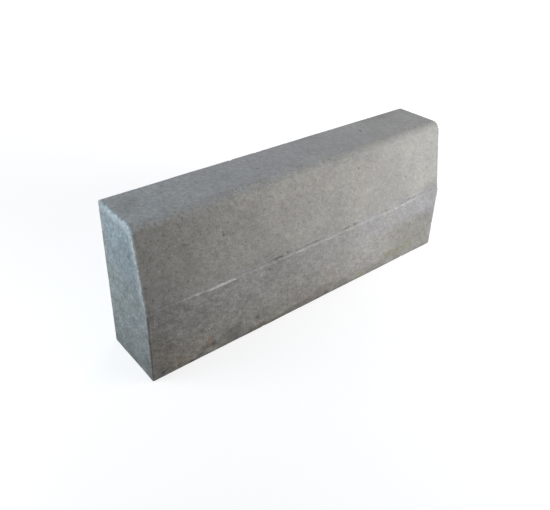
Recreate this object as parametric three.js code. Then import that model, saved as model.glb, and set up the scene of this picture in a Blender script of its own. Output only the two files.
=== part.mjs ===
// A straight road kerb stone, pressed from concrete in one piece.
//
// The road side is the front: a rounded nose at the top, a battered face below it that a
// wheel meets, and a plain lower face that is buried. A mould joint runs along the foot of
// the batter. The back, the base and the two ends are plane, and every edge has a small
// moulded rounding.
//
// X runs along the stone, the front faces -Y and Z is up. The origin is the middle of the
// base. Lengths are in millimetres.
import * as THREE from "three";

// Driving dimensions.
const LENGTH = 750;
const HEIGHT = 300;
const BASE_WIDTH = 140; // front to back at the base
const TOP_WIDTH = 113; // front to back at the top, measured to the nose before it is rounded
const NOSE_RADIUS = 20;
const SEAM_HEIGHT = 142; // from the base to the mould joint
const LEDGE_WIDTH = 1.5; // how far the lower face stands out from the foot of the batter
const LEDGE_RISE = 1.5; // height of the small slope on top of that ledge
const LONG_ARRIS_RADIUS = 4; // rounding of the edges that run along the stone
const END_ARRIS_RADIUS = 2.5; // rounding of the edges around the two end faces

// Facets of each rounded edge.
const ARC_SEGMENTS = 6; // half the number of facets across a long edge
const END_ARRIS_SEGMENTS = 3;

// The closed outline through the given corners in anticlockwise order. A corner with a
// radius is rounded by an arc that touches both of its sides, and the others stay sharp.
function roundedOutline(corners) {
  const outline = new THREE.Shape();
  corners.forEach(({ at, radius }, i) => {
    const previous = corners.at(i - 1).at;
    const next = corners[(i + 1) % corners.length].at;
    const toPrevious = previous.clone().sub(at).normalize();
    const toNext = next.clone().sub(at).normalize();
    if (!radius) {
      outline.lineTo(at.x, at.y);
      return;
    }
    const halfAngle = toPrevious.angleTo(toNext) / 2;
    const inward = toPrevious.clone().add(toNext).normalize();
    const centre = at.clone().addScaledVector(inward, radius / Math.sin(halfAngle));
    // The radius to where the arc meets a side is square to that side.
    const startAngle = Math.atan2(toPrevious.x, -toPrevious.y);
    const turn = Math.PI - 2 * halfAngle;
    outline.absarc(centre.x, centre.y, radius, startAngle, startAngle + turn, false);
  });
  outline.closePath();
  return outline;
}

// The cross-section: across the stone from front to back, and up from the base.
function sectionOutline() {
  const front = -BASE_WIDTH / 2;
  const back = BASE_WIDTH / 2;
  const nose = back - TOP_WIDTH;
  const batterFoot = front + LEDGE_WIDTH;
  return roundedOutline([
    { at: new THREE.Vector2(front, 0), radius: LONG_ARRIS_RADIUS },
    { at: new THREE.Vector2(back, 0), radius: LONG_ARRIS_RADIUS },
    { at: new THREE.Vector2(back, HEIGHT), radius: LONG_ARRIS_RADIUS },
    { at: new THREE.Vector2(nose, HEIGHT), radius: NOSE_RADIUS },
    { at: new THREE.Vector2(batterFoot, SEAM_HEIGHT + LEDGE_RISE), radius: 0 },
    { at: new THREE.Vector2(front, SEAM_HEIGHT), radius: 0 },
  ]);
}

// The section drawn out to the stone's length. The rounded end edges are part of the length.
function kerbGeometry() {
  const straightLength = LENGTH - 2 * END_ARRIS_RADIUS;
  const geometry = new THREE.ExtrudeGeometry(sectionOutline(), {
    depth: straightLength,
    curveSegments: ARC_SEGMENTS,
    bevelEnabled: true,
    bevelThickness: END_ARRIS_RADIUS,
    bevelSize: END_ARRIS_RADIUS,
    bevelOffset: -END_ARRIS_RADIUS,
    bevelSegments: END_ARRIS_SEGMENTS,
  });
  geometry.translate(0, 0, -straightLength / 2);
  // The section's across and up become Y and Z, and the way it is drawn out becomes X.
  const across = new THREE.Vector3(0, 1, 0);
  const up = new THREE.Vector3(0, 0, 1);
  const along = new THREE.Vector3(1, 0, 0);
  return geometry.applyMatrix4(new THREE.Matrix4().makeBasis(across, up, along));
}

const concrete = new THREE.MeshStandardMaterial({
  color: 0x8a8985,
  roughness: 0.95,
  metalness: 0,
});

const kerbStone = new THREE.Mesh(kerbGeometry(), concrete);
kerbStone.name = "kerb_stone";

const kerb = new THREE.Group();
kerb.add(kerbStone);

export default kerb;
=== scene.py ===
import math

import bpy
import numpy as np
from mathutils import Matrix, Vector


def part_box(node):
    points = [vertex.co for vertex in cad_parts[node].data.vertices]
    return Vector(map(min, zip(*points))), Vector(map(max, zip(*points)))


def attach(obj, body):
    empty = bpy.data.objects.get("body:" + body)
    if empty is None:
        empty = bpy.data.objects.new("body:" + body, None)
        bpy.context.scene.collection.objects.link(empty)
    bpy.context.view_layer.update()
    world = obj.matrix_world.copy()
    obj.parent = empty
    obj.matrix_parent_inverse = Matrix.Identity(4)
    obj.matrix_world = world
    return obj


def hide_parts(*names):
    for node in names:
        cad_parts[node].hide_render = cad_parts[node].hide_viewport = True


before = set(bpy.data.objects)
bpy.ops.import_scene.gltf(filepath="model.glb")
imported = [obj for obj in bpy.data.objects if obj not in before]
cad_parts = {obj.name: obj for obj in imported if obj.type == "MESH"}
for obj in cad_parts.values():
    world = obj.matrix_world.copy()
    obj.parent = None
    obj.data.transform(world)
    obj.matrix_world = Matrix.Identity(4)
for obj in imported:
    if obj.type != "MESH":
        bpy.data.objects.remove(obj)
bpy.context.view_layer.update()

# ---------------------------------------------------------------------------------------
# The kerb stone.
# Earth-damp concrete is rammed into a steel mould of two halves and struck at once, so it
# is one solid piece: the mould's section, drawn out straight between two flat end plates.

MM = 0.001
MM_PER_METRE = 1000
length, base_width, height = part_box("kerb_stone")[1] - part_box("kerb_stone")[0]

MOULD = {
    "Length": length,
    "Base Width": base_width,
    "Top Width": 113 * MM,  # across to the nose as it would be before rounding
    "Height": height,
    "Nose Radius": 20 * MM,
    "Edge Radius": 4 * MM,
    "Joint Height": 142 * MM,  # where the mould's two halves meet on the front
    "Ledge": 1.5 * MM,  # how far the lower half stands out from the upper
}
END_EDGE_RADIUS = 2.5 * MM
EDGE_STEPS = 12  # facets round a long edge
END_EDGE_STEPS = 3
ARRIS_ANGLE = math.radians(60)  # the batter and the ledge turn by less, so they are no arris
FINE_CELL = 1.25 * MM
KEPT_TRIANGLES = 0.195  # of the million that the fine cells give

# What striking, stacking and handling do to the surface. All sizes and places are in mm.
WEAR = {
    "Swell Height": 0.45,  # the rammed faces rise and fall slowly
    "Swell Width": 95,
    "Grit Height": 0.18,
    "Grit Width": 6,
    "Nose Grit Height": 0.3,  # the nose is hard to ram full, so its skin stays open
    "Nose Grit Width": 4.5,
    "Crumble Depth": 0.22,  # sand lost all along an arris
    "Crumble Width": 4,
    "Chip Depth": 1.5,
    "Chip Width": 15,
    "Tooth Depth": 3.2,  # the top arris of the left-hand end, torn as the plate was drawn
    "Tooth Width": 7,
    "Knock Reach": 8,  # how far in from an arris a chip or tooth runs
    "Pore Spacing": 9,
    "Pore Radius": 1.9,
    "Joint Stray": 6.2,
    "Fin Height": 1.1,  # slurry squeezed out between the mould's halves
    "Fin Length": 9,
    "Groove Depth": 1.5,  # torn open just above the joint
    "Groove Length": 16,
    "Seed": 4,
}
SEED_STEP = 10  # between one unevenness and the next
PORE_SEED = 40  # added to the seed
NO_PORE = 0.6  # share of the pore's cells that stay full
FIN_RISE = 0.4  # from the joint up to the middle of the fin
GROOVE_RISE = 4.6
TOP_MIDDLE = 16  # the top's middle lies this far towards the back
HALF_LENGTH = 375
NOISE_RANGE = {1: 0.3, 2: 0.7}  # nearly all of a soft noise lies between these
PIT_RANGE = {1: 1.1, 2: 0.3}  # of its half widths, from its rim to its floor
PITS = [
    # lumps of paste pulled off with the mould: place, half widths, depth
    ((30, -37, 296), (5, 4, 3.5), 1.3),
    ((195, 25, 300), (5, 4, 4), 1.8),
    ((-92, 8, 300), (4, 3, 4), 1.5),
    ((-212, -54, 231), (3, 4, 4), 1.6),
    ((118, -49, 262), (4, 4, 3), 1.5),
    ((262, -59, 205), (3, 4, 3), 1.5),
    ((-60, 72, 190), (5, 4, 4), 1.8),
    ((210, 72, 95), (6, 4, 4), 2),
    ((375, 12, 210), (4, 5, 5), 1.8),
    # torn skin along the joint
    ((-203, -70, 138), (4, 4, 2.4), 1.3),
    ((-126, -70, 130), (11, 4, 2.4), 1.3),
    ((-101, -69, 147), (14, 4, 2.6), 1.6),
    ((-77, -69, 150), (5, 4, 3.4), 1.7),
    ((-56, -69, 147), (6, 4, 2.2), 1.2),
    ((-8, -69, 147), (14, 4, 2.2), 1.2),
    ((62, -70, 137), (9, 4, 2.4), 1.2),
    ((86, -69, 146), (12, 4, 2.4), 1.4),
    ((101, -69, 149), (5, 4, 3.2), 1.7),
    ((199, -69, 147), (7, 4, 3.2), 1.5),
    ((255, -69, 150), (10, 4, 2.8), 1.7),
    ((316, -69, 146), (15, 4, 3.4), 1.4),
    ((341, -69, 146), (11, 4, 4), 1.7),
]
# The joint from end to end, each as (place along X, share from 0 to 1).
JOINT = {
    "stray": [  # of the largest rise from its height
        (-375, 0.5), (-305, 0.72), (-280, 0.67), (-245, 0.28), (-205, 0.22), (-170, 0), (35, 0), (90, 0.1),
        (180, 0.12), (215, 0.26), (255, 0.58), (295, 1), (330, 1), (375, 0.83),
    ],
    "slurry": [  # left on the ledge
        (-375, 0), (-320, 0.05), (-302, 0.42), (-265, 0.42), (-248, 0.96), (-212, 1), (-194, 0.46),
        (-178, 0.1), (-138, 0.1), (-112, 0.34), (-62, 0.32), (-42, 0.44), (-25, 0.2), (5, 0.28), (36, 0.42),
        (55, 0.2), (92, 0.34), (110, 0.12), (150, 0.24), (205, 0.28), (248, 0.42), (272, 0.42), (297, 0.34),
        (312, 0.15), (375, 0.1),
    ],
    "grime": [  # grime held in the groove, painted darker still as shade
        (-375, 0.25), (-320, 0.35), (-295, 0.15), (-235, 0.08), (-170, 0.2), (-125, 0.25), (-103, 0.9),
        (-78, 0.5), (-50, 0.4), (-20, 0.7), (8, 0.75), (22, 0.2), (60, 0.15), (84, 0.8), (104, 0.75),
        (130, 0.15), (180, 0.25), (200, 0.5), (225, 0.3), (255, 0.6), (285, 0.4), (318, 0.4), (350, 0.28),
        (375, 0.4),
    ],
}


def add(tree, kind, inputs=(), points=(), **settings):
    """Adds a node with its settings, its inputs filled or linked, and its curve's points."""
    node = tree.nodes.new(kind)
    for name, value in settings.items():
        setattr(node, name, value)
    for key, value in dict(inputs).items():
        if isinstance(value, bpy.types.Node):
            value = next(socket for socket in value.outputs if socket.enabled)
        if isinstance(value, bpy.types.NodeSocket):
            tree.links.new(value, node.inputs[key])
        else:
            node.inputs[key].default_value = value
    if points:
        line = node.mapping.curves[0].points
        while len(line) < len(points):
            line.new(0.5, 0.5)
        for point, (x, value) in zip(line, points):
            point.location = (x / (2 * HALF_LENGTH) + 0.5, value)
        node.mapping.update()
    return node


def start_tree(name, sizes, on_mesh):
    """A Geometry Nodes tree with a named input for each size and one for its concrete."""
    tree = bpy.data.node_groups.new(name, "GeometryNodeTree")
    if on_mesh:
        tree.interface.new_socket("Stone", in_out="INPUT", socket_type="NodeSocketGeometry")
    for size in sizes:
        tree.interface.new_socket(size, in_out="INPUT", socket_type="NodeSocketFloat")
    tree.interface.new_socket("Concrete", in_out="INPUT", socket_type="NodeSocketMaterial")
    tree.interface.new_socket("Stone", in_out="OUTPUT", socket_type="NodeSocketGeometry")
    return tree, tree.nodes.new("NodeGroupInput").outputs


def mould_section():
    """Six corners, each rounded by its own radius, drawn out along the stone's length."""
    tree, size = start_tree("mould_section", MOULD, on_mesh=False)
    back = add(tree, "ShaderNodeMath", {0: size["Base Width"], 1: 0.5}, operation="MULTIPLY")
    front = add(tree, "ShaderNodeMath", {0: back, 1: -1}, operation="MULTIPLY")
    nose = add(tree, "ShaderNodeMath", {0: back, 1: size["Top Width"]}, operation="SUBTRACT")
    upper = add(tree, "ShaderNodeMath", {0: front, 1: size["Ledge"]}, operation="ADD")
    ledge = add(tree, "ShaderNodeMath", {0: size["Joint Height"], 1: size["Ledge"]}, operation="ADD")
    corners = [
        (front, 0, size["Edge Radius"]),
        (back, 0, size["Edge Radius"]),
        (back, size["Height"], size["Edge Radius"]),
        (nose, size["Height"], size["Nose Radius"]),
        (upper, ledge, 0),
        (front, size["Joint Height"], 0),
    ]
    number = add(tree, "GeometryNodeInputIndex")
    place = add(tree, "GeometryNodeIndexSwitch", {0: number}, data_type="VECTOR")
    radius = add(tree, "GeometryNodeIndexSwitch", {0: number}, data_type="FLOAT")
    for switch in (place, radius):
        while len(switch.index_switch_items) < len(corners):
            switch.index_switch_items.new()
    for item, (across, up, rounding) in enumerate(corners, 1):
        corner = add(tree, "ShaderNodeCombineXYZ", {0: across, 1: up})
        tree.links.new(corner.outputs[0], place.inputs[item])
        if rounding != 0:
            tree.links.new(rounding, radius.inputs[item])
    outline = add(tree, "GeometryNodeMeshLine", {"Count": len(corners)})
    outline = add(tree, "GeometryNodeMeshToCurve", {0: outline})
    outline = add(tree, "GeometryNodeSetPosition", {0: outline, "Position": place})
    outline = add(tree, "GeometryNodeSetSplineCyclic", {0: outline, "Cyclic": True})
    outline = add(tree, "GeometryNodeFilletCurve", {
        0: outline, "Count": EDGE_STEPS, "Radius": radius,
    }, mode="POLY")
    half = add(tree, "ShaderNodeMath", {0: size["Length"], 1: 0.5}, operation="MULTIPLY")
    left = add(tree, "ShaderNodeMath", {0: half, 1: -1}, operation="MULTIPLY")
    way = add(tree, "GeometryNodeCurvePrimitiveLine", {
        "Start": add(tree, "ShaderNodeCombineXYZ", {"Z": left}),
        "End": add(tree, "ShaderNodeCombineXYZ", {"Z": half}),
    })
    body = add(tree, "GeometryNodeCurveToMesh", {"Curve": way, "Profile Curve": outline, "Fill Caps": True})
    # The sweep comes out as across, up and along; the stone lies along X and stands on Z.
    swept = add(tree, "ShaderNodeSeparateXYZ", {0: add(tree, "GeometryNodeInputPosition")}).outputs
    laid = add(tree, "ShaderNodeCombineXYZ", {"X": swept["Z"], "Y": swept["X"], "Z": swept["Y"]})
    body = add(tree, "GeometryNodeSetPosition", {0: body, "Position": laid})
    body = add(tree, "GeometryNodeRealizeInstances", {0: body})
    body = add(tree, "GeometryNodeSetMaterial", {0: body, "Material": size["Concrete"]})
    add(tree, "NodeGroupOutput", {0: body})
    return tree


def stone_wear(section):
    """Swell, grit, pores, the joint's fin and groove, and arrises that have lost sand and chips."""
    tree, size = start_tree("stone_wear", {**MOULD, **WEAR}, on_mesh=True)
    place = add(tree, "GeometryNodeInputPosition")
    mm = add(tree, "ShaderNodeVectorMath", {0: place, "Scale": MM_PER_METRE}, operation="SCALE")
    along, across, up = add(tree, "ShaderNodeSeparateXYZ", {0: mm}).outputs
    normal = add(tree, "GeometryNodeInputNormal")
    facing = add(tree, "ShaderNodeSeparateXYZ", {0: normal}).outputs[1]

    # Every unevenness is a soft noise. Teeth run straight across their arris.
    over_arris = add(tree, "ShaderNodeVectorMath", {0: mm, 1: (0.12, 1, 0.12)}, operation="MULTIPLY")
    noises = {
        # name: where it is read, width, detail, lowest, highest
        "swell": (mm, "Swell Width", 1, -0.5, 0.5),
        "grit": (mm, "Grit Width", 3, -0.5, 0.5),
        "nose_grit": (mm, "Nose Grit Width", 2, -0.5, 0.5),
        "crumble": (mm, "Crumble Width", 2, 0, 1),
        "chip": (mm, "Chip Width", 2, -3.8, 1),
        "tooth": (over_arris, "Tooth Width", 2, -0.1, 1.1),
        "fin": (mm, "Fin Length", 3, -0.2, 1.1),
        "groove": (mm, "Groove Length", 2, -0.3, 1.2),
    }
    uneven = {}
    for step, (name, (where, width, detail, low, high)) in enumerate(noises.items()):
        scale = add(tree, "ShaderNodeMath", {0: 1, 1: size[width]}, operation="DIVIDE")
        seed = add(tree, "ShaderNodeMath", {0: size["Seed"], 1: SEED_STEP * step}, operation="ADD")
        cloud = add(tree, "ShaderNodeTexNoise", {
            "Vector": where, "W": seed, "Scale": scale, "Detail": detail,
        }, noise_dimensions="4D")
        uneven[name] = add(tree, "ShaderNodeMapRange", {0: cloud, **NOISE_RANGE, 3: low, 4: high})

    # The unrounded mould gives the line of every arris that can be knocked.
    sharp = add(tree, "GeometryNodeGroup", node_tree=section)
    for name in MOULD:
        if name != "Edge Radius":
            tree.links.new(size[name], sharp.inputs[name])
    sharp.inputs["Edge Radius"].default_value = 0
    edge_angle = add(tree, "GeometryNodeInputMeshEdgeAngle")
    is_sharp = add(tree, "FunctionNodeCompare", {0: edge_angle, 1: ARRIS_ANGLE},
                   operation="GREATER_THAN")
    arris = add(tree, "GeometryNodeSeparateGeometry", {0: sharp, 1: is_sharp}, domain="EDGE")
    to_arris = add(tree, "GeometryNodeProximity", {0: arris}, target_element="EDGES").outputs["Distance"]
    to_arris = add(tree, "ShaderNodeMath", {0: to_arris, 1: MM_PER_METRE}, operation="MULTIPLY")

    # Shares from 0 to 1 of where each thing is: value, where it is 0, where it is 1.
    off_centre = add(tree, "ShaderNodeMath", {0: across, 1: TOP_MIDDLE}, operation="SUBTRACT")
    joint_mm = add(tree, "ShaderNodeMath", {0: size["Joint Height"], 1: MM_PER_METRE},
                   operation="MULTIPLY")
    above_joint = add(tree, "ShaderNodeMath", {0: up, 1: joint_mm}, operation="SUBTRACT")
    off_fin = add(tree, "ShaderNodeMath", {0: above_joint, 1: FIN_RISE}, operation="SUBTRACT")
    off_groove = add(tree, "ShaderNodeMath", {0: above_joint, 1: GROOVE_RISE}, operation="SUBTRACT")
    places = {
        "arris": (to_arris, size["Crumble Width"], 0),
        "knocked": (to_arris, size["Knock Reach"], 0),
        "left_end": (along, -362, -371),
        "top": (up, 268, 292),
        "off_corners": (add(tree, "ShaderNodeMath", {0: off_centre}, operation="ABSOLUTE"), 54, 34),
        "nose_height": (up, 279, 287),
        "nose_width": (across, -22, -28),
        "front": (facing, -0.2, -0.5),
        "joint": (add(tree, "ShaderNodeMath", {0: above_joint}, operation="ABSOLUTE"), 30, 4),
        "fin": (add(tree, "ShaderNodeMath", {0: off_fin}, operation="ABSOLUTE"), 2.6, 0),
        "groove": (add(tree, "ShaderNodeMath", {0: off_groove}, operation="ABSOLUTE"), 2.4, 0),
    }
    at = {}
    for name, (value, none, full) in places.items():
        at[name] = add(tree, "ShaderNodeMapRange", {0: value, 1: none, 2: full},
                       interpolation_type="LINEAR" if name == "knocked" else "SMOOTHSTEP")
    from_left = add(tree, "ShaderNodeMapRange", {0: along, 1: -HALF_LENGTH, 2: HALF_LENGTH})
    for name, points in JOINT.items():
        at[name] = add(tree, "ShaderNodeFloatCurve", {"Value": from_left}, points=points)

    # A pore is a round air bubble that the mould's face has cut open.
    seed = add(tree, "ShaderNodeMath", {0: size["Seed"], 1: PORE_SEED}, operation="ADD")
    scale = add(tree, "ShaderNodeMath", {0: 1, 1: size["Pore Spacing"]}, operation="DIVIDE")
    cell = add(tree, "ShaderNodeTexVoronoi", {"Vector": mm, "W": seed, "Scale": scale},
               voronoi_dimensions="4D")
    to_centre = add(tree, "ShaderNodeMath", {0: cell.outputs["Distance"], 1: size["Pore Spacing"]},
                    operation="MULTIPLY")
    chance = add(tree, "ShaderNodeSeparateXYZ", {0: cell.outputs["Color"]}).outputs[0]
    radius = add(tree, "ShaderNodeMapRange", {
        0: chance, 1: NO_PORE, 2: 1, 3: 0, 4: size["Pore Radius"],
    })
    wide = add(tree, "ShaderNodeMath", {0: radius, 1: 2}, operation="POWER")
    far = add(tree, "ShaderNodeMath", {0: to_centre, 1: 2}, operation="POWER")
    inside = add(tree, "ShaderNodeMath", {0: wide, 1: far}, operation="SUBTRACT")
    inside = add(tree, "ShaderNodeMath", {0: inside, 1: 0}, operation="MAXIMUM")
    pore = add(tree, "ShaderNodeMath", {0: inside}, operation="SQRT")

    pitted = 0
    for middle, half_widths, depth in PITS:
        away = add(tree, "ShaderNodeVectorMath", {0: mm, 1: middle}, operation="SUBTRACT")
        away = add(tree, "ShaderNodeVectorMath", {0: away, 1: half_widths}, operation="DIVIDE")
        away = add(tree, "ShaderNodeVectorMath", {0: away}, operation="LENGTH").outputs["Value"]
        pit = add(tree, "ShaderNodeMapRange", {0: away, **PIT_RANGE, 3: 0, 4: depth},
                  interpolation_type="SMOOTHSTEP")
        pitted = add(tree, "ShaderNodeMath", {0: pit, 1: pitted}, operation="ADD")

    # What stands proud or is gone: how much in mm, then the shares that it is multiplied by.
    relief = {
        "swell": (size["Swell Height"], uneven["swell"]),
        "grit": (size["Grit Height"], uneven["grit"]),
        "nose": (size["Nose Grit Height"], uneven["nose_grit"], at["nose_height"], at["nose_width"]),
        "fin": (size["Fin Height"], uneven["fin"], at["fin"], at["front"], at["slurry"]),
        "groove": (size["Groove Depth"], uneven["groove"], at["groove"], at["front"], at["grime"]),
        "crumble": (size["Crumble Depth"], uneven["crumble"], at["arris"]),
        "chip": (size["Chip Depth"], uneven["chip"], at["knocked"]),
        "tooth": (size["Tooth Depth"], uneven["tooth"], at["knocked"], at["left_end"], at["top"],
                  at["off_corners"]),
        "lift": (size["Joint Stray"], at["stray"], at["joint"], at["front"]),
    }
    for name, (amount, *shares) in relief.items():
        for share in shares:
            amount = add(tree, "ShaderNodeMath", {0: amount, 1: share}, operation="MULTIPLY")
        relief[name] = amount
    gone = add(tree, "ShaderNodeMath", {0: relief["crumble"], 1: relief["chip"]}, operation="MAXIMUM")
    gone = add(tree, "ShaderNodeMath", {0: gone, 1: relief["tooth"]}, operation="MAXIMUM")
    groove = add(tree, "ShaderNodeMath", {0: relief["groove"], 1: 0}, operation="MAXIMUM")
    hollow = add(tree, "ShaderNodeMath", {0: gone, 1: pore}, operation="ADD")
    hollow = add(tree, "ShaderNodeMath", {0: hollow, 1: groove}, operation="ADD")
    hollow = add(tree, "ShaderNodeMath", {0: hollow, 1: pitted}, operation="ADD")
    out = add(tree, "ShaderNodeMath", {0: hollow, 1: -1}, operation="MULTIPLY")
    for name in ("swell", "grit", "nose", "fin"):
        out = add(tree, "ShaderNodeMath", {0: out, 1: relief[name]}, operation="ADD")

    out = add(tree, "ShaderNodeVectorMath", {0: normal, "Scale": out}, operation="SCALE")
    lift = add(tree, "ShaderNodeCombineXYZ", {"Z": relief["lift"]})
    moved = add(tree, "ShaderNodeVectorMath", {0: out, 1: lift}, operation="ADD")
    moved = add(tree, "ShaderNodeVectorMath", {0: moved, "Scale": MM}, operation="SCALE")
    moved = add(tree, "ShaderNodeVectorMath", {0: moved, 1: place}, operation="ADD")
    # Nothing reaches below the ground that the stone stands on.
    moved = add(tree, "ShaderNodeVectorMath", {0: moved, 1: (-9, -9, 0)}, operation="MAXIMUM")
    body = size["Stone"]
    for name, value in (("above_joint", above_joint), ("to_arris", to_arris), ("hollow", hollow)):
        body = add(tree, "GeometryNodeStoreNamedAttribute", {0: body, "Name": name, "Value": value},
                   data_type="FLOAT", domain="POINT")
    body = add(tree, "GeometryNodeSetPosition", {0: body, "Position": moved})
    body = add(tree, "GeometryNodeRealizeInstances", {0: body})
    body = add(tree, "GeometryNodeSetMaterial", {0: body, "Material": size["Concrete"]})
    add(tree, "NodeGroupOutput", {0: body})
    return tree


def run(stone, tree, values):
    """Puts a tree on the stone, with its inputs set by their sockets' identifiers."""
    modifier = stone.modifiers.new(tree.name, "NODES")
    modifier.node_group = tree
    for socket in tree.interface.items_tree:
        if socket.in_out == "INPUT" and socket.name in values:
            value = values[socket.name]
            modifier[socket.identifier] = value if isinstance(value, bpy.types.Material) else float(value)


concrete = bpy.data.materials.new("pressed_concrete")
concrete.use_nodes = True

stone = bpy.data.objects.new("kerb_stone_surface", bpy.data.meshes.new("kerb_stone_surface"))
bpy.context.scene.collection.objects.link(stone)
section = mould_section()
run(stone, section, {**MOULD, "Concrete": concrete})
ends = stone.modifiers.new("end_edges", "BEVEL")
ends.width = END_EDGE_RADIUS
ends.segments = END_EDGE_STEPS
ends.limit_method = "ANGLE"
ends.angle_limit = ARRIS_ANGLE
cells = stone.modifiers.new("fine_cells", "REMESH")
cells.mode = "VOXEL"
cells.voxel_size = FINE_CELL
run(stone, stone_wear(section), {**MOULD, **WEAR, "Concrete": concrete})
thin = stone.modifiers.new("triangles", "DECIMATE")
thin.ratio = KEPT_TRIANGLES
bpy.context.view_layer.update()
worn = bpy.data.meshes.new_from_object(stone.evaluated_get(bpy.context.evaluated_depsgraph_get()))
worn.shade_smooth()
stone.modifiers.clear()
stone.data = worn

# Each side of the stone is laid flat in its own part of one sheet, at one scale.
SHEET = 920 * MM
GAP = 7 * MM
SIDES = [
    # the way a side faces, its two directions on the sheet, and where it lies there
    ((0, -1, 0), 0, 2, 0, 0),
    ((0, 1, 0), 0, 2, 0, height + GAP),
    ((0, 0, 1), 0, 1, 0, 2 * (height + GAP)),
    ((0, 0, -1), 0, 1, 0, 2 * (height + GAP) + base_width + GAP),
    ((-1, 0, 0), 1, 2, length + GAP, 0),
    ((1, 0, 0), 1, 2, length + GAP, height + GAP),
]
places = np.empty(3 * len(worn.vertices), np.float32)
worn.vertices.foreach_get("co", places)
places = places.reshape(-1, 3)
facing = np.empty(3 * len(worn.polygons), np.float32)
worn.polygons.foreach_get("normal", facing)
side_of_face = np.argmax(facing.reshape(-1, 3) @ np.array([side[0] for side in SIDES]).T, axis=1)
corners_of_face = np.empty(len(worn.polygons), np.int32)
worn.polygons.foreach_get("loop_total", corners_of_face)
vertex_of_corner = np.empty(len(worn.loops), np.int32)
worn.loops.foreach_get("vertex_index", vertex_of_corner)
side_of_corner = np.repeat(side_of_face, corners_of_face)
flat = np.empty((len(worn.loops), 2), np.float32)
low = places.min(axis=0)
for number, (_, right, upward, start_right, start_up) in enumerate(SIDES):
    here = side_of_corner == number
    spots = places[vertex_of_corner[here]] - low
    flat[here, 0] = (spots[:, right] + start_right + GAP) / SHEET
    flat[here, 1] = (spots[:, upward] + start_up + GAP) / SHEET
worn.uv_layers.new(name="OFBake").uv.foreach_set("vector", flat.ravel())


def paint(colour):
    """An sRGB hex colour as the linear colour that a socket takes."""
    parts = [int(colour[i:i + 2], 16) / 255 for i in (1, 3, 5)]
    return [part / 12.92 if part <= 0.04045 else ((part + 0.055) / 1.055) ** 2.4 for part in parts] + [1]


# Pressed dry-mix concrete: grey cement paste over washed sand, struck from steel and never
# trowelled. It reads as a dry matt grey, sandy close up, cloudy from afar. All sizes and
# places are in mm.
DAMP_PASTE = "#868581"
DRY_PASTE = "#92908B"
COOL_PASTE = "#8B8D90"
BEDDING = (1.4, 1.5, 1)  # ramming flattens the mix, so its patches are wider than tall
BEDDING_DIP = (math.radians(-42), math.radians(26), 0)  # it slid that way as the mould was filled
GRAIN_WIDTH = 3.9  # the coarsest sand, drawn a little coarse so that it shows
PINHOLE_SPACING = 7
SLURRY_RISE = -0.5  # the slurry lies on the ledge, just below the joint
HIGHEST_SPLASH = 42
STAIN_RANGE = {1: 0.5, 2: 1.4}  # of its half widths, from full strength to nothing
SMALL_STAIN = 20  # two half widths together; a smaller one has a finer ragged edge
CLOUD_STEP = 7  # from where one cloud is read to where the next is
CLOUDS = {
    # name: width, detail, lowest, highest
    "paste": (90, 2, 0, 1),
    "cool": (26, 3, -0.3, 1),
    "small_patch": (8.5, 2, -0.055, 0.055),
    "patch": (26, 2, -0.025, 0.025),
    "end_patch": (20, 3, -0.12, 0.09),
    "sand": (4.2, 2, -0.075, 0.075),
    "fine_sand": (2.1, 3, -0.15, 0.15),
    "tick": (2.6, 1, -0.16, 0.12),
    "dark_spot": (7, 3, -1.6, 1),
    "bare": (70, 2, -0.4, 1.2),
    "band": (12, 2, 0.8, 1),
    "bloom": (38, 3, 0.35, 1),
    "slurry": (13, 3, 0.6, 1.15),
    "wander": (7, 2, -0.9, 0.9),
    "grime": (9, 3, -0.2, 1.2),
    "splash": (26, 4, 0.05, 1.45),
    "rough": (15, 3, 0.86, 0.97),
}
# The skin from end to end, each as (place along X, share from 0 to 1).
SKIN = {
    "open": [  # drier and sandier all round, where the filling began
        (-375, 1), (-250, 0.94), (-130, 0.8), (-25, 0.72), (100, 0.64), (375, 0.64),
    ],
    "bloom": [  # lime that has bled from the joint on the front
        (-375, 0.4), (-260, 0.5), (-192, 0.5), (-178, 1), (-145, 1), (-122, 0.4), (-60, 0.25), (-15, 0.6),
        (60, 0.6), (75, 0.3), (95, 0.3), (110, 0.75), (180, 0.85), (300, 0.95), (375, 0.9),
    ],
    "splash": [  # dirt from the ground on the front
        (-375, 0.6), (-310, 0.45), (-250, 0.5), (-195, 1), (-60, 0.85), (20, 1), (85, 0.8), (130, 0.4),
        (240, 0.5), (375, 0.45),
    ],
    "drying": [  # painted shade: the front painted paler towards its middle, darker towards its ends
        (-375, 0), (-300, 0.27), (-240, 0.64), (-120, 0.8), (0, 0.9), (120, 0.8), (240, 0.82), (300, 0.55),
        (375, 0.51),
    ],
}
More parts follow.
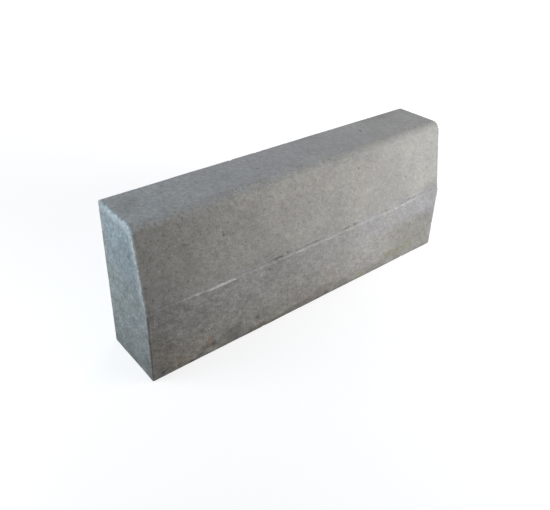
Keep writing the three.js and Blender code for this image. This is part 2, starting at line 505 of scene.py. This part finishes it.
STAINS = [
    # place, half widths, colour, strength
    ((-256, -65, 27), (6, 40, 13), "#87664D", 0.48),  # rust
    ((-315, -65, 14), (22, 40, 12), "#7D725D", 0.4),
    ((-300, -65, 34), (44, 40, 28), "#80705A", 0.15),
    ((-138, -65, 10), (14, 40, 8), "#856D56", 0.4),
    ((-101, -65, 20), (11, 40, 20), "#7D8160", 0.3),  # algae
    ((-25, -65, 16), (26, 40, 18), "#7F716E", 0.3),
    ((42, -65, 36), (24, 40, 24), "#8B7E78", 0.35),
    ((128, -65, 14), (18, 40, 11), "#86815F", 0.35),
    ((150, -65, 44), (34, 40, 14), "#8F878C", 0.35),
    ((235, -65, 26), (34, 40, 11), "#83835F", 0.4),
    ((282, -65, 36), (20, 40, 13), "#868964", 0.45),
    ((-372, -65, 110), (9, 40, 90), "#83746B", 0.35),
    ((40, -65, 268), (22, 40, 18), "#94898A", 0.2),
    ((130, -65, 262), (24, 40, 17), "#968B86", 0.2),
    ((128, -65, 198), (22, 40, 17), "#8E847B", 0.25),
    ((340, -65, 176), (26, 40, 14), "#868C82", 0.25),
    ((-354, -65, 12), (4, 40, 4), "#33312D", 0.75),  # wet dirt
    ((-345, -65, 15), (6, 40, 4), "#45433E", 0.5),
    ((-293, -65, 3), (6, 40, 4), "#363430", 0.65),
    ((-279, -65, 10), (5, 40, 4), "#3B3934", 0.6),
    ((-266, -65, 22), (8, 40, 7), "#45423D", 0.5),
    ((-248, -65, 21), (6, 40, 6), "#3F3C37", 0.6),
    ((-240, -65, 15), (15, 40, 10), "#504D48", 0.3),
    ((-147, -65, 32), (5, 40, 4), "#3D3B37", 0.6),
    ((-105, -65, 3), (8, 40, 4), "#383632", 0.65),
    ((-205, -65, 26), (22, 40, 18), "#54514D", 0.4),
    ((-145, -65, 34), (13, 40, 13), "#54504B", 0.28),
    ((-150, -65, 4), (62, 40, 9), "#4E4B48", 0.4),
    ((-50, -65, 6), (46, 40, 12), "#514D49", 0.4),
    ((26, -65, 15), (26, 40, 16), "#544B43", 0.32),
    ((34, -65, 9), (6, 40, 5), "#403A34", 0.4),
    ((9, -65, 5), (7, 40, 4), "#413D38", 0.4),
    ((80, -65, 9), (20, 40, 14), "#4F4B46", 0.35),
    ((-12, -65, 34), (14, 40, 12), "#5A5651", 0.25),
    ((-60, -65, 36), (22, 40, 12), "#5F5B57", 0.2),
    ((-118, -65, 34), (14, 40, 10), "#55514D", 0.25),
    ((185, -65, 12), (32, 40, 12), "#5C5850", 0.35),
    ((-352, -65, 52), (26, 40, 46), "#6D6659", 0.4),
    ((-352, -65, 143), (30, 40, 13), "#65625E", 0.3),
    ((-85, -65, 122), (46, 40, 32), "#73706C", 0.3),
    ((-40, -65, 48), (60, 40, 26), "#6E6A66", 0.22),
    # darker patches over the lower right of the front
    ((262, -65, 80), (38, 40, 66), "#77746D", 0.55),
    ((240, -65, 18), (42, 40, 16), "#68655C", 0.3),
    ((336, -65, 60), (46, 40, 54), "#7B7972", 0.6),
    ((336, -65, 38), (26, 40, 15), "#75726A", 0.4),
    ((352, -65, 124), (54, 40, 46), "#726F6C", 0.85),
    ((245, -65, 124), (32, 40, 15), "#838180", 0.3),
    ((368, -65, 130), (30, 40, 14), "#83807E", 0.3),
    ((-345, 18, 300), (22, 20, 30), "#6B6862", 0.35),
    ((295, 60, 300), (66, 15, 20), "#72716C", 0.4),
    ((142, -65, 90), (42, 40, 36), "#A19F9A", 0.35),  # dry and pale
    ((122, -65, 52), (26, 40, 13), "#A4A19B", 0.25),
    ((-234, -65, 149), (8, 40, 4), "#A7A49E", 0.35),
    ((-358, -65, 152), (7, 40, 4), "#A4A19A", 0.35),
]
# The ends' own patches: a bluish one in the middle of the left end, darker ones towards the foot of both
# ends, and two pale ones at the top of the left end that are painted highlight.
END_PATCHES_AND_HIGHLIGHTS = [
    ((-375, -8, 279), (40, 42, 20), "#BEC8C8", 0.75),  # painted highlight at the top of the end
    ((-375, 66, 286), (40, 20, 18), "#BEC8C8", 0.9),
    ((-375, 10, 135), (40, 70, 55), "#788A8B", 0.4),
    ((-375, 58, 27), (40, 28, 30), "#626261", 0.4),
    ((375, -30, 40), (40, 60, 40), "#6E6C66", 0.3),
]
tree = concrete.node_tree
tree.nodes.clear()
place = add(tree, "ShaderNodeTexCoord").outputs["Object"]
mm = add(tree, "ShaderNodeVectorMath", {0: place, "Scale": MM_PER_METRE}, operation="SCALE")
along, across, up = add(tree, "ShaderNodeSeparateXYZ", {0: mm}).outputs
above_joint = add(tree, "ShaderNodeAttribute", attribute_name="above_joint").outputs["Fac"]
to_arris = add(tree, "ShaderNodeAttribute", attribute_name="to_arris").outputs["Fac"]
hollow = add(tree, "ShaderNodeAttribute", attribute_name="hollow").outputs["Fac"]

# Soft noises, each read from its own place in the bedded mix.
cloud = {}
bedded = add(tree, "ShaderNodeMapping", {"Vector": mm, "Rotation": BEDDING_DIP, "Scale": BEDDING},
             vector_type="TEXTURE")
for name, (width, detail, low, high) in CLOUDS.items():
    where = add(tree, "ShaderNodeVectorMath", {0: bedded, 1: (CLOUD_STEP * len(cloud), 0, 0)},
                operation="ADD")
    soft = add(tree, "ShaderNodeTexNoise", {"Vector": where, "Scale": 1 / width, "Detail": detail})
    cloud[name] = add(tree, "ShaderNodeMapRange", {0: soft, **NOISE_RANGE, 3: low, 4: high})
share = {}
from_left = add(tree, "ShaderNodeMapRange", {0: along, 1: -HALF_LENGTH, 2: HALF_LENGTH})
for name in ("slurry", "grime"):
    share[name] = add(tree, "ShaderNodeFloatCurve", {"Value": from_left}, points=JOINT[name])
for name, points in SKIN.items():
    share["skin_" + name] = add(tree, "ShaderNodeFloatCurve", {"Value": from_left}, points=points)

# Slurry, and grime with painted shade, lie in strips by the joint, as wide as there is much of them.
# The grime and shade strip is a little wider to the right. Dirt is splashed up to its own height.
off_middle = add(tree, "ShaderNodeMath", {0: along}, operation="ABSOLUTE")
to_line = add(tree, "ShaderNodeMath", {0: above_joint, 1: cloud["wander"]}, operation="ADD")
off_slurry = add(tree, "ShaderNodeMath", {0: to_line, 1: SLURRY_RISE}, operation="SUBTRACT")
off_slurry = add(tree, "ShaderNodeMath", {0: off_slurry}, operation="ABSOLUTE")
off_grime_and_shade = add(tree, "ShaderNodeMath", {0: to_line, 1: GROOVE_RISE}, operation="SUBTRACT")
off_grime_and_shade = add(tree, "ShaderNodeMath", {0: off_grime_and_shade}, operation="ABSOLUTE")
slurry = add(tree, "ShaderNodeMath", {0: share["slurry"], 1: cloud["slurry"]}, operation="MULTIPLY")
slurry_width = add(tree, "ShaderNodeMapRange", {0: slurry, 1: 0, 2: 1, 3: -0.6, 4: 2.7})
off_slurry = add(tree, "ShaderNodeMath", {0: slurry_width, 1: off_slurry}, operation="SUBTRACT")
slurry_cover = add(tree, "ShaderNodeMapRange", {0: slurry, 1: 0, 2: 1, 3: 0.25, 4: 1})
grime_and_shade_width = add(tree, "ShaderNodeMapRange", {0: along, 1: 150, 2: 330, 3: 3.8, 4: 4.5})
grime_and_shade_width = add(tree, "ShaderNodeMath", {0: grime_and_shade_width, 1: share["grime"]}, operation="MULTIPLY")
grime_and_shade_width = add(tree, "ShaderNodeMath", {0: grime_and_shade_width, 1: cloud["grime"]}, operation="MULTIPLY")
off_grime_and_shade = add(tree, "ShaderNodeMath", {0: grime_and_shade_width, 1: off_grime_and_shade}, operation="SUBTRACT")
height_of_dirt = add(tree, "ShaderNodeMath", {0: share["skin_splash"], 1: cloud["splash"]},
                     operation="MULTIPLY")
height_of_dirt = add(tree, "ShaderNodeMath", {0: height_of_dirt, 1: HIGHEST_SPLASH},
                     operation="MULTIPLY")
in_dirt = add(tree, "ShaderNodeMath", {0: up, 1: height_of_dirt}, operation="DIVIDE")
# Below the joint the front's skin wraps a few mm round on to the end, most at the foot.
wrap = add(tree, "ShaderNodeMapRange", {0: up, 1: 15, 2: 45, 3: 10, 4: 3.6})
wrap = add(tree, "ShaderNodeMath", {0: wrap, 1: cloud["wander"]}, operation="ADD")
from_front = add(tree, "ShaderNodeMath", {0: across, 1: MM_PER_METRE * base_width / 2},
                 operation="ADD")
off_wrap = add(tree, "ShaderNodeMath", {0: from_front, 1: wrap}, operation="SUBTRACT")
# Shares from 0 to 1 of where each part of the skin is: value, where it is 0, where it is 1.
places = {
    "end": (off_middle, 371, 374),
    "off_wrap": (off_wrap, -1, 1),
    "front": (across, -42, -45),
    "off_front": (across, -45, -42),
    "below": (above_joint, 2, -2),
    "bloom_foot": (above_joint, -62, -24),
    "bloom_head": (above_joint, 15, 3),
    "slurry": (off_slurry, -0.9, 1.1),
    "grime": (off_grime_and_shade, -0.6, 1.4),
    "dirt": (in_dirt, 1, 0.1),
    "arris": (to_arris, 22, 5),
    "arris_line": (to_arris, 7, 2.5),
    "by_end": (off_middle, 364, 371),
    "under_nose": (up, 286, 268),
    "right_arris": (along, 363, 370),
    "upper_arris": (up, 60, 280),
    "high": (up, 150, 225),
    "foot": (up, 60, 10),
    "back_strip": (across, 42, 64),
    "nose_height": (up, 279, 286),
    "nose_width": (across, -20, -27),
    "crest_height": (up, 287, 292),
    "crest_width": (across, -29, -36),
    "hollow": (hollow, 0.5, 2.4),
}
for name, (value, none, full) in places.items():
    share["at_" + name] = add(tree, "ShaderNodeMapRange", {0: value, 1: none, 2: full},
                              interpolation_type="SMOOTHSTEP")
# What wraps round counts as front, and an end's own skin keeps off it.
unwrapped = add(tree, "ShaderNodeMath", {0: 1, 1: share["at_below"]}, operation="SUBTRACT")
unwrapped = add(tree, "ShaderNodeMath", {0: unwrapped, 1: share["at_off_wrap"]}, operation="MAXIMUM")
share["at_end"] = add(tree, "ShaderNodeMath", {0: share["at_end"], 1: unwrapped}, operation="MULTIPLY")
off_end = add(tree, "ShaderNodeMath", {0: 1, 1: share["at_end"]}, operation="SUBTRACT")
share["at_front"] = add(tree, "ShaderNodeMath", {0: share["at_front"], 1: off_end}, operation="MULTIPLY")

# Sand: about one grain in four is much darker than the paste and one in six a little lighter.
# Pinholes are bubbles too small to be shaped.
grain = add(tree, "ShaderNodeTexVoronoi", {"Vector": bedded, "Scale": 1 / GRAIN_WIDTH})
kind_of_grain = add(tree, "ShaderNodeSeparateColor", {0: grain.outputs["Color"]}).outputs[0]
in_grain = add(tree, "ShaderNodeMapRange", {0: grain.outputs["Distance"], 1: 0.25, 2: 0.5, 3: 1, 4: 0})
dark_grain = add(tree, "ShaderNodeMapRange", {0: kind_of_grain, 1: 0.24, 2: 0.0, 3: 0, 4: 0.68})
pale_grain = add(tree, "ShaderNodeMapRange", {0: kind_of_grain, 1: 0.84, 2: 1.0, 3: 0, 4: 0.2})
pinhole = add(tree, "ShaderNodeTexVoronoi", {"Vector": mm, "Scale": 1 / PINHOLE_SPACING})
chance = add(tree, "ShaderNodeSeparateColor", {0: pinhole.outputs["Color"]}).outputs[2]
pin_size = add(tree, "ShaderNodeMapRange", {0: chance, 1: 0.3, 2: 1, 3: 0, 4: 0.22})
pinhole = add(tree, "ShaderNodeMath", {0: pin_size, 1: pinhole.outputs["Distance"]}, operation="SUBTRACT")
pinhole = add(tree, "ShaderNodeMapRange", {0: pinhole, 1: 0, 2: 0.06})

# Coats of colour, laid in this order: the colour, then the shares that are multiplied.
# Lime leaves a cool bloom by the joint and pale slurry on its ledge. The end plates leave a
# denser, cooler skin. Along its front and top arris a pale band is painted as a painted
# highlight, most of all on the left.
# How strong the painted highlight along the end's arris is: most at the left, and towards the front and
# top.
slope = add(tree, "ShaderNodeVectorMath", {0: mm, 1: (0, -1 / 140, 1 / 300)}, operation="DOT_PRODUCT")
front_or_top = add(tree, "ShaderNodeMapRange", {0: slope.outputs["Value"], 1: 0.45, 2: 0.85})
painted_highlight_share = add(tree, "ShaderNodeMapRange", {0: from_left, 3: 1, 4: 0.35})
painted_highlight_share = add(tree, "ShaderNodeMath", {0: painted_highlight_share, 1: front_or_top}, operation="MULTIPLY")
coats = [
    (COOL_PASTE, cloud["cool"], share["at_off_front"], 0.3),
    ("#5B5853", dark_grain, in_grain, share["skin_open"]),
    ("#C2BDB0", pale_grain, in_grain, share["skin_open"]),
]
# A stain, and each painted highlight on the end, is an ellipse whose edge is made ragged by moving the
# place where it is read.
ragged = {}
for size, width, reach in (("wide", 28, 42), ("small", 6, 9)):
    where = add(tree, "ShaderNodeTexNoise", {"Vector": mm, "Scale": 1 / width, "Detail": 4})
    where = add(tree, "ShaderNodeVectorMath", {0: where.outputs["Color"], 1: (0.5, 0.5, 0.5)},
                operation="SUBTRACT")
    where = add(tree, "ShaderNodeVectorMath", {0: where, "Scale": reach}, operation="SCALE")
    ragged[size] = add(tree, "ShaderNodeVectorMath", {0: where, 1: mm}, operation="ADD")
for middle, half_widths, hue, strength in STAINS + END_PATCHES_AND_HIGHLIGHTS:
    where = ragged["small" if half_widths[0] + half_widths[2] < SMALL_STAIN else "wide"]
    away = add(tree, "ShaderNodeVectorMath", {0: where, 1: middle}, operation="SUBTRACT")
    away = add(tree, "ShaderNodeVectorMath", {0: away, 1: half_widths}, operation="DIVIDE")
    away = add(tree, "ShaderNodeVectorMath", {0: away}, operation="LENGTH").outputs["Value"]
    stain_and_highlight = add(tree, "ShaderNodeMapRange", {0: away, **STAIN_RANGE, 3: strength, 4: 0},
                interpolation_type="SMOOTHSTEP")
    coats.append((hue, stain_and_highlight, share["at_end"] if abs(middle[0]) == HALF_LENGTH else 1))
below = add(tree, "ShaderNodeMath", {0: share["at_front"], 1: share["at_below"]}, operation="MULTIPLY")
coats += [
    ("#5F5C57", cloud["dark_spot"], below, 0.3),
    ("#908F91", share["at_bloom_foot"], share["at_bloom_head"], share["skin_bloom"], cloud["bloom"],
     share["at_front"]),
    ("#C4C2BC", share["at_slurry"], slurry_cover, share["at_front"]),
    ("#858A8C", share["at_end"], 0.8),
    ("#7F8D97", share["at_end"], share["at_high"], 0.5),
    ("#95918A", share["at_end"], share["at_high"], share["at_back_strip"], 0.28),
    ("#7E8186", share["at_right_arris"], share["at_front"], 0.3),
    # painted highlight: a pale band and a paler line along the left end's front and top arris
    ("#C3C6C9", share["at_arris"], share["at_end"], share["at_upper_arris"], painted_highlight_share, cloud["band"],
     0.5),
    ("#DDD5CB", share["at_arris_line"], share["at_end"], share["at_upper_arris"], painted_highlight_share,
     share["at_under_nose"], 0.42),
]
colour = add(tree, "ShaderNodeMix", {
    0: cloud["paste"], 6: paint(DAMP_PASTE), 7: paint(DRY_PASTE),
}, data_type="RGBA")
for hue, cover, *shares in coats:
    for part in shares:
        cover = add(tree, "ShaderNodeMath", {0: cover, 1: part}, operation="MULTIPLY")
    colour = add(tree, "ShaderNodeMix", {0: cover, 6: colour, 7: paint(hue)}, data_type="RGBA")

# Tones: how much darker or lighter, then the shares that are multiplied. The skin is patchy
# where the mix was wetter or drier, most of all below the joint and on the ends.
patch = add(tree, "ShaderNodeMath", {0: cloud["small_patch"], 1: cloud["patch"]}, operation="ADD")
tones = [
    (patch, share["skin_open"], 1.6),
    (patch, share["skin_open"], share["at_front"], 0.55),
    (patch, share["skin_open"], share["skin_open"], below, 1.15),
    (patch, share["at_end"], 1.6),
    (cloud["end_patch"], share["at_end"], 1.3),
    (cloud["sand"], share["skin_open"], 1.95),
    (cloud["sand"], share["skin_open"], share["skin_open"], below, 1.0),
    (cloud["sand"], share["at_end"], 1.1),
    (cloud["tick"], share["at_nose_height"], share["at_nose_width"], cloud["bare"]),
    # painted highlight: the nose's crest painted a little lighter
    (0.03, share["at_crest_height"], share["at_crest_width"]),
    # painted shade with grime: the groove above the joint is painted darker
    (-0.38, share["at_grime"], share["at_front"]),
    (-0.2, share["at_dirt"], share["at_front"]),
    # painted shade: hollows painted darker the deeper they are, and pinholes darker too
    (-0.13, share["at_hollow"]),
    (-0.12, pinhole),
    # painted shade: the front painted darker towards its ends, most of all at the left
    (0.35, share["skin_drying"], share["at_front"]),
    (-0.14, share["at_front"]),
    # the ends are painted darker towards the foot
    (-0.14, share["at_foot"], share["at_end"]),
    # painted highlight: the front's arris by the end, below the joint, painted lighter
    (0.15, share["at_arris_line"], share["at_by_end"], below),
]
for amount, *shares in tones:
    for part in shares:
        amount = add(tree, "ShaderNodeMath", {0: amount, 1: part}, operation="MULTIPLY")
    tone = add(tree, "ShaderNodeMath", {0: amount, 1: 1}, operation="ADD")
    colour = add(tree, "ShaderNodeMix", {0: 1, 6: colour, 7: tone}, data_type="RGBA", blend_type="MULTIPLY")

# Sand stands about 0.2 mm proud of the paste, and pinholes go in half a millimetre.
relief = add(tree, "ShaderNodeMath", {0: cloud["fine_sand"], 1: share["skin_open"]}, operation="MULTIPLY")
for amount, part in ((0.12, in_grain), (-0.5, pinhole)):
    relief = add(tree, "ShaderNodeMath", {0: part, 1: amount, 2: relief}, operation="MULTIPLY_ADD")
relief = add(tree, "ShaderNodeBump", {"Height": relief, "Distance": MM, "Strength": 1})
shader = add(tree, "ShaderNodeBsdfPrincipled", {
    "Base Color": colour,
    "Roughness": cloud["rough"],
    "IOR": 1.5,
    "Normal": relief,
})
add(tree, "ShaderNodeOutputMaterial", {"Surface": shader})

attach(stone, "root")
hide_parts("kerb_stone")

# ---------------------------------------------------------------------------------------
# The floor and the white beyond it.
# A pale matt studio floor. What the camera sees of it is white except in the stone's shade.

FLOOR_SIZE = 40  # metres, so that it runs out of sight
bpy.ops.mesh.primitive_plane_add(size=FLOOR_SIZE)
floor = bpy.context.object
floor.name = "studio_floor"
paper = bpy.data.materials.new("white_paper")
paper.use_nodes = True
world = bpy.data.worlds.new("studio")
world.use_nodes = True
bpy.context.scene.world = world
SKY = (0.178, 0.186, 0.2, 1)
WHITE = (1, 1, 1, 1)
PAPER = "#8C8C8C"
# From 0.6 m to 1.8 m off the stone's middle. Nearer it is held back, so that the shade shows.
GLOW = {1: 0.6, 2: 1.8, 3: 0.76, 4: 1}
for tree in (paper.node_tree, world.node_tree):
    tree.nodes.clear()
    ray = add(tree, "ShaderNodeLightPath").outputs
    seen = ray["Is Camera Ray"]
    for name in ("Is Glossy Ray", "Is Transmission Ray"):
        seen = add(tree, "ShaderNodeMath", {0: seen, 1: ray[name]}, operation="MAXIMUM")
    if tree == world.node_tree:
        shade = add(tree, "ShaderNodeMix", {0: seen, 6: SKY, 7: WHITE}, data_type="RGBA")
        add(tree, "ShaderNodeOutputWorld", {"Surface": add(tree, "ShaderNodeBackground", {"Color": shade})})
        continue
    place = add(tree, "ShaderNodeTexCoord").outputs["Object"]
    from_stone = add(tree, "ShaderNodeVectorMath", {0: place}, operation="LENGTH").outputs["Value"]
    white = add(tree, "ShaderNodeMapRange", {0: from_stone, **GLOW})
    white = add(tree, "ShaderNodeMath", {0: white, 1: seen}, operation="MULTIPLY")
    glow = add(tree, "ShaderNodeEmission", {"Color": WHITE, "Strength": white})
    matt = add(tree, "ShaderNodeBsdfDiffuse", {"Color": paint(PAPER)})
    add(tree, "ShaderNodeOutputMaterial", {"Surface": add(tree, "ShaderNodeAddShader", {0: matt, 1: glow})})
floor.data.materials.append(paper)

# ---------------------------------------------------------------------------------------
# The lamps.
# Two soft lamps stand off the right-hand end of the front, a low cool one and a high warm
# one. One more stands off the left-hand end, a wide one behind, and a faint blue one overhead.

LAMPS = [
    # name, place, aimed at, width, colour, watts
    ("low_lamp", (0.75, -0.65, 0.35), (0.2, -0.07, 0.15), 0.5, (0.93, 0.956, 1.0), 8.6),
    ("skin_lamp", (0.3, -0.8, 0.95), (0.1, -0.07, 0.2), 0.6, (1.0, 0.908, 0.78), 4.65),
    ("end_lamp", (-0.87, 0.25, 0.42), (-0.375, 0.0, 0.2), 0.45, (0.885, 0.985, 1.0), 3.7),
    ("back_lamp", (0.9, 1.0, 0.8), (0.1, 0.0, 0.2), 0.9, (0.93, 0.913, 0.978), 11.1),
    ("top_lamp", (-0.5, 0.1, 1.2), (-0.15, 0.0, 0.2), 0.8, (0.34, 0.63, 1.0), 2.6),
]
for name, place, target, width, colour, watts in LAMPS:
    lamp = bpy.data.lights.new(name, "AREA")
    lamp.shape = "DISK"
    lamp.size = width
    lamp.color = colour
    lamp.energy = watts
    holder = bpy.data.objects.new(name, lamp)
    holder.location = place
    holder.rotation_euler = (Vector(target) - Vector(place)).to_track_quat("-Z", "Y").to_euler()
    bpy.context.scene.collection.objects.link(holder)

# ---------------------------------------------------------------------------------------
# The camera, held at hip height off the left-hand end and tilted a little. Its picture lies a
# little below the lens's middle.

EYE = Vector((-0.7207, -0.7939, 0.7883))
AIM = Vector((-0.0114, 0.048, 0.144))
TILT = math.radians(1.758)
camera = bpy.data.objects.new("camera", bpy.data.cameras.new("camera"))
camera.matrix_world = (
    Matrix.Translation(EYE)
    @ (AIM - EYE).to_track_quat("-Z", "Y").to_matrix().to_4x4()
    @ Matrix.Rotation(TILT, 4, "Z")
)
camera.data.lens = 40.335
camera.data.sensor_width = 36
camera.data.shift_y = -0.0636
bpy.context.scene.collection.objects.link(camera)
bpy.context.scene.camera = camera
bpy.context.scene.view_settings.view_transform = "Standard"
